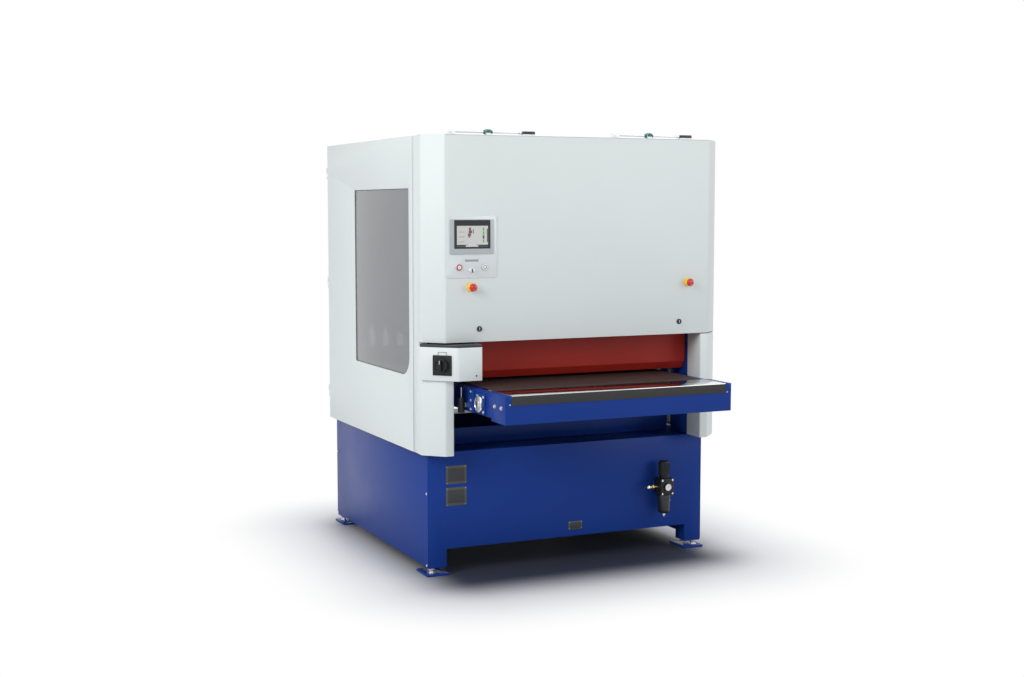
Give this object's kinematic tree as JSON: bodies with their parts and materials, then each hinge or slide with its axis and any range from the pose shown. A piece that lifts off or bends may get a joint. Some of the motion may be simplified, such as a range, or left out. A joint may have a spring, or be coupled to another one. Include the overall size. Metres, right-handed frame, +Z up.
{
  "type": "sheet metal deburring machine",
  "caption": "Through-feed deburring machine for sheet metal: conveyor table, lift-up front hood with controls, side door with window, abrasive belt unit and traversing brush unit.",
  "frame": {"origin": "on the floor, at the centre of the rectangle of the four anchor holes in the feet", "axes": "+X to the operator's right, +Y from the infeed side towards the outfeed side, +Z up"},
  "size_m": [1.552, 2.109, 2.059],
  "materials": {
    "white_paint": "semi-gloss powder coat",
    "blue_paint": "semi-gloss paint",
    "red_paint": "semi-gloss paint",
    "zinc_plate": "zinc plated",
    "steel": "machined steel",
    "aluminium_part": "satin",
    "dark_trim": "satin",
    "black_plastic": "satin",
    "black_rubber": "matte",
    "belt_rubber": "matte",
    "abrasive": "rough",
    "teal_plastic": "satin",
    "signal_red": "gloss",
    "signal_yellow": "gloss",
    "light_plastic": "gloss",
    "window": "tinted",
    "plate_grey": "satin"
  },
  "bodies": {
    "frame": {"base_frame": "blue_paint", "base_end_panels": "blue_paint", "base_side_covers": "blue_paint", "cover_screws": "zinc_plate", "levelling_feet": "zinc_plate", "portal_frame": "blue_paint", "post_covers": "white_paint", "switch_box": "white_paint", "switch_box_lip": "dark_trim", "main_switch_plate": "black_plastic", "side_panel_right": "white_paint", "rear_panel": "white_paint", "roof_panel": "white_paint", "hood_hinges": "zinc_plate", "door_hinges": "zinc_plate", "lift_columns": "steel", "head_frame": "steel", "abrasive_belt": "abrasive", "belt_motor": "blue_paint", "drive_belt": "black_rubber", "service_unit": "black_plastic", "type_plates": "plate_grey"},
    "main_switch": {"main_switch_knob": "black_plastic"},
    "hood": {"hood": "white_paint", "hinge_bushes": "teal_plastic", "control_plate": "aluminium_part", "touch_panel": "dark_trim", "e_stop_collars": "signal_yellow"},
    "start_button": {"start_button": "light_plastic"},
    "stop_button": {"stop_button": "signal_red"},
    "key_switch": {"key_switch": "steel"},
    "e_stop_left": {"e_stop_left": "signal_red"},
    "e_stop_right": {"e_stop_right": "signal_red"},
    "latch_left": {"latch_left": "black_plastic"},
    "latch_right": {"latch_right": "black_plastic"},
    "door": {"side_door": "white_paint", "side_window": "window"},
    "guard": {"infeed_guard": "red_paint"},
    "table": {"table_frame": "blue_paint", "nose_plate": "steel", "safety_strip": "black_rubber", "conveyor_belt": "belt_rubber", "roller_bearings": "zinc_plate", "gear_motor": "steel", "tracking_sensor": "black_plastic"},
    "drive_roller": {"drive_roller": "black_rubber"},
    "idler_roller": {"idler_roller": "aluminium_part"},
    "contact_drum": {"contact_drum": "black_rubber"},
    "tension_roller": {"tension_roller": "aluminium_part"},
    "motor_pulley": {"motor_pulley": "steel"},
    "carriage": {"brush_carriage": "blue_paint"},
    "rotor": {"brush_rotor": "steel"},
    "disc_1": {"brush_disc_1": "abrasive"},
    "disc_2": {"brush_disc_2": "abrasive"},
    "disc_3": {"brush_disc_3": "abrasive"},
    "press_front": {"pressure_roller_front": "black_rubber"},
    "press_rear": {"pressure_roller_rear": "black_rubber"},
    "tension_lever": {"tension_lever": "black_plastic"},
    "brush_lever": {"brush_lever": "black_plastic"},
    "regulator": {"regulator_knob": "black_plastic"}
  },
  "joints": [
    {"name": "main_switch_turn", "type": "hinge", "parent": "frame", "child": "main_switch", "pos_m": [-0.70424, -0.7918, 0.985], "axis": [-0.7071, -0.7071, 0], "range_deg": [0, 90]},
    {"name": "hood_lift", "type": "hinge", "parent": "frame", "child": "hood", "pos_m": [0, -0.65, 2.029], "axis": [-1, 0, 0], "range_deg": [0, 75]},
    {"name": "start_press", "type": "slide", "parent": "hood", "child": "start_button", "axis": [0, 1, 0], "range_m": [0, 0.004], "stiffness_N_per_m": 800},
    {"name": "stop_press", "type": "slide", "parent": "hood", "child": "stop_button", "axis": [0, 1, 0], "range_m": [0, 0.004], "stiffness_N_per_m": 800},
    {"name": "key_turn", "type": "hinge", "parent": "hood", "child": "key_switch", "pos_m": [-0.5595, -0.788, 1.406], "axis": [0, 1, 0], "range_deg": [0, 90]},
    {"name": "e_stop_left_press", "type": "slide", "parent": "hood", "child": "e_stop_left", "axis": [0, 1, 0], "range_m": [0, 0.005]},
    {"name": "e_stop_right_press", "type": "slide", "parent": "hood", "child": "e_stop_right", "axis": [0, 1, 0], "range_m": [0, 0.005]},
    {"name": "latch_left_turn", "type": "hinge", "parent": "hood", "child": "latch_left", "pos_m": [-0.522, -0.785, 1.142], "axis": [0, 1, 0], "range_deg": [0, 90]},
    {"name": "latch_right_turn", "type": "hinge", "parent": "hood", "child": "latch_right", "pos_m": [0.522, -0.785, 1.142], "axis": [0, -1, 0], "range_deg": [0, 90]},
    {"name": "door_swing", "type": "hinge", "parent": "frame", "child": "door", "pos_m": [-0.762, 0.671, 1.29], "axis": [0, 0, -1], "range_deg": [0, 110]},
    {"name": "guard_flap", "type": "hinge", "parent": "frame", "child": "guard", "pos_m": [0, -0.6465, 1.093], "axis": [1, 0, 0], "range_deg": [0, 20]},
    {"name": "table_lift", "type": "slide", "parent": "frame", "child": "table", "axis": [0, 0, 1], "range_m": [-0.1, 0.01]},
    {"name": "drive_spin", "type": "hinge", "parent": "table", "child": "drive_roller", "pos_m": [0, 0.86, 0.821], "axis": [1, 0, 0], "continuous": true},
    {"name": "idler_spin", "type": "hinge", "parent": "table", "child": "idler_roller", "pos_m": [0, -0.924, 0.821], "axis": [1, 0, 0], "continuous": true},
    {"name": "drum_spin", "type": "hinge", "parent": "frame", "child": "contact_drum", "pos_m": [0, -0.3, 0.9988], "axis": [1, 0, 0], "continuous": true},
    {"name": "tension_spin", "type": "hinge", "parent": "frame", "child": "tension_roller", "pos_m": [0, -0.3, 1.6], "axis": [1, 0, 0], "continuous": true},
    {"name": "motor_spin", "type": "hinge", "parent": "frame", "child": "motor_pulley", "pos_m": [0.692, 0.402, 1.3], "axis": [1, 0, 0], "continuous": true},
    {"name": "brush_traverse", "type": "slide", "parent": "frame", "child": "carriage", "axis": [1, 0, 0], "range_m": [-0.28, 0.28]},
    {"name": "rotor_spin", "type": "hinge", "parent": "carriage", "child": "rotor", "pos_m": [0, 0.131, 1], "axis": [0, 0, 1], "continuous": true},
    {"name": "disc_1_spin", "type": "hinge", "parent": "rotor", "child": "disc_1", "pos_m": [0, 0.271, 0.95], "axis": [0, 0, 1], "continuous": true},
    {"name": "disc_2_spin", "type": "hinge", "parent": "rotor", "child": "disc_2", "pos_m": [-0.12124, 0.061, 0.95], "axis": [0, 0, 1], "continuous": true},
    {"name": "disc_3_spin", "type": "hinge", "parent": "rotor", "child": "disc_3", "pos_m": [0.12124, 0.061, 0.95], "axis": [0, 0, 1], "continuous": true},
    {"name": "press_front_spin", "type": "hinge", "parent": "frame", "child": "press_front", "pos_m": [0, -0.5, 0.927], "axis": [1, 0, 0], "continuous": true},
    {"name": "press_rear_spin", "type": "hinge", "parent": "frame", "child": "press_rear", "pos_m": [0, 0.492, 0.927], "axis": [1, 0, 0], "continuous": true},
    {"name": "tension_lever_turn", "type": "hinge", "parent": "frame", "child": "tension_lever", "pos_m": [-0.645, -0.176, 1.093], "axis": [1, 0, 0], "range_deg": [0, 60]},
    {"name": "brush_lever_turn", "type": "hinge", "parent": "frame", "child": "brush_lever", "pos_m": [-0.645, 0.198, 1.069], "axis": [1, 0, 0], "range_deg": [0, 60]},
    {"name": "regulator_turn", "type": "hinge", "parent": "frame", "child": "regulator", "pos_m": [0.483, -0.725, 0.42], "axis": [0, 0, 1], "continuous": true}
  ],
  "couplings": [
    {"joint": "idler_spin", "follows": "drive_spin", "ratio": 1},
    {"joint": "tension_spin", "follows": "drum_spin", "ratio": 1.4267},
    {"joint": "motor_spin", "follows": "drum_spin", "ratio": 1.2845},
    {"joint": "disc_1_spin", "follows": "rotor_spin", "ratio": -4},
    {"joint": "disc_2_spin", "follows": "rotor_spin", "ratio": -4},
    {"joint": "disc_3_spin", "follows": "rotor_spin", "ratio": -4}
  ]
}
